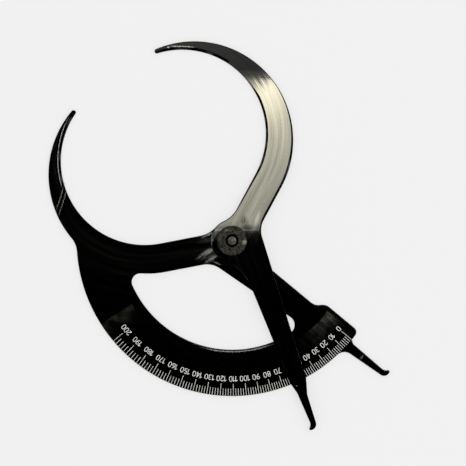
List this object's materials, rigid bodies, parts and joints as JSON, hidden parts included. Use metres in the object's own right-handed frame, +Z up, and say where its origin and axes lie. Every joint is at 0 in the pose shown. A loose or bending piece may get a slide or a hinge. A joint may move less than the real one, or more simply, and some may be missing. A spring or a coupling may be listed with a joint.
{
  "type": "inside outside caliper",
  "caption": "Flat blackened steel caliper: a hooked jaw and short leg on a numbered scale sector, and a mirror-image arm on a rivet whose straight edge points at the scale.",
  "frame": {"origin": "on the pivot axis, in the plane of the frame's underside, which lies on the table", "axes": "+Z up along the pivot axis out of the scale's face; +Y along the long way of the tool from the legs to the outside jaws, as the tool lies with its jaws at the rest reading; +X to the right seen from above"},
  "size_m": [0.2184, 0.2488, 0.0066],
  "materials": {
    "blackened_steel": "chemically blackened and oiled, glossy, brushed along each limb",
    "rivet_steel": "dull, dimpled where it was hammered",
    "spacer_brass": "dull",
    "washer_steel": "dull and mottled, worn blackening",
    "white_filling": "matt white filling of engraved marks and numerals"
  },
  "bodies": {
    "frame": {"frame_plate": "blackened_steel", "pivot_rivet": "rivet_steel", "spacer_washer": "spacer_brass", "front_washer": "washer_steel", "scale_marks": "white_filling", "scale_numerals": "white_filling"},
    "arm": {"moving_arm": "blackened_steel"}
  },
  "joints": [
    {"name": "jaw_opening", "type": "hinge", "parent": "frame", "child": "arm", "pos_m": [0, 0, 0.00373], "axis": [0, 0, -1], "range_deg": [-27.9, 72]}
  ]
}
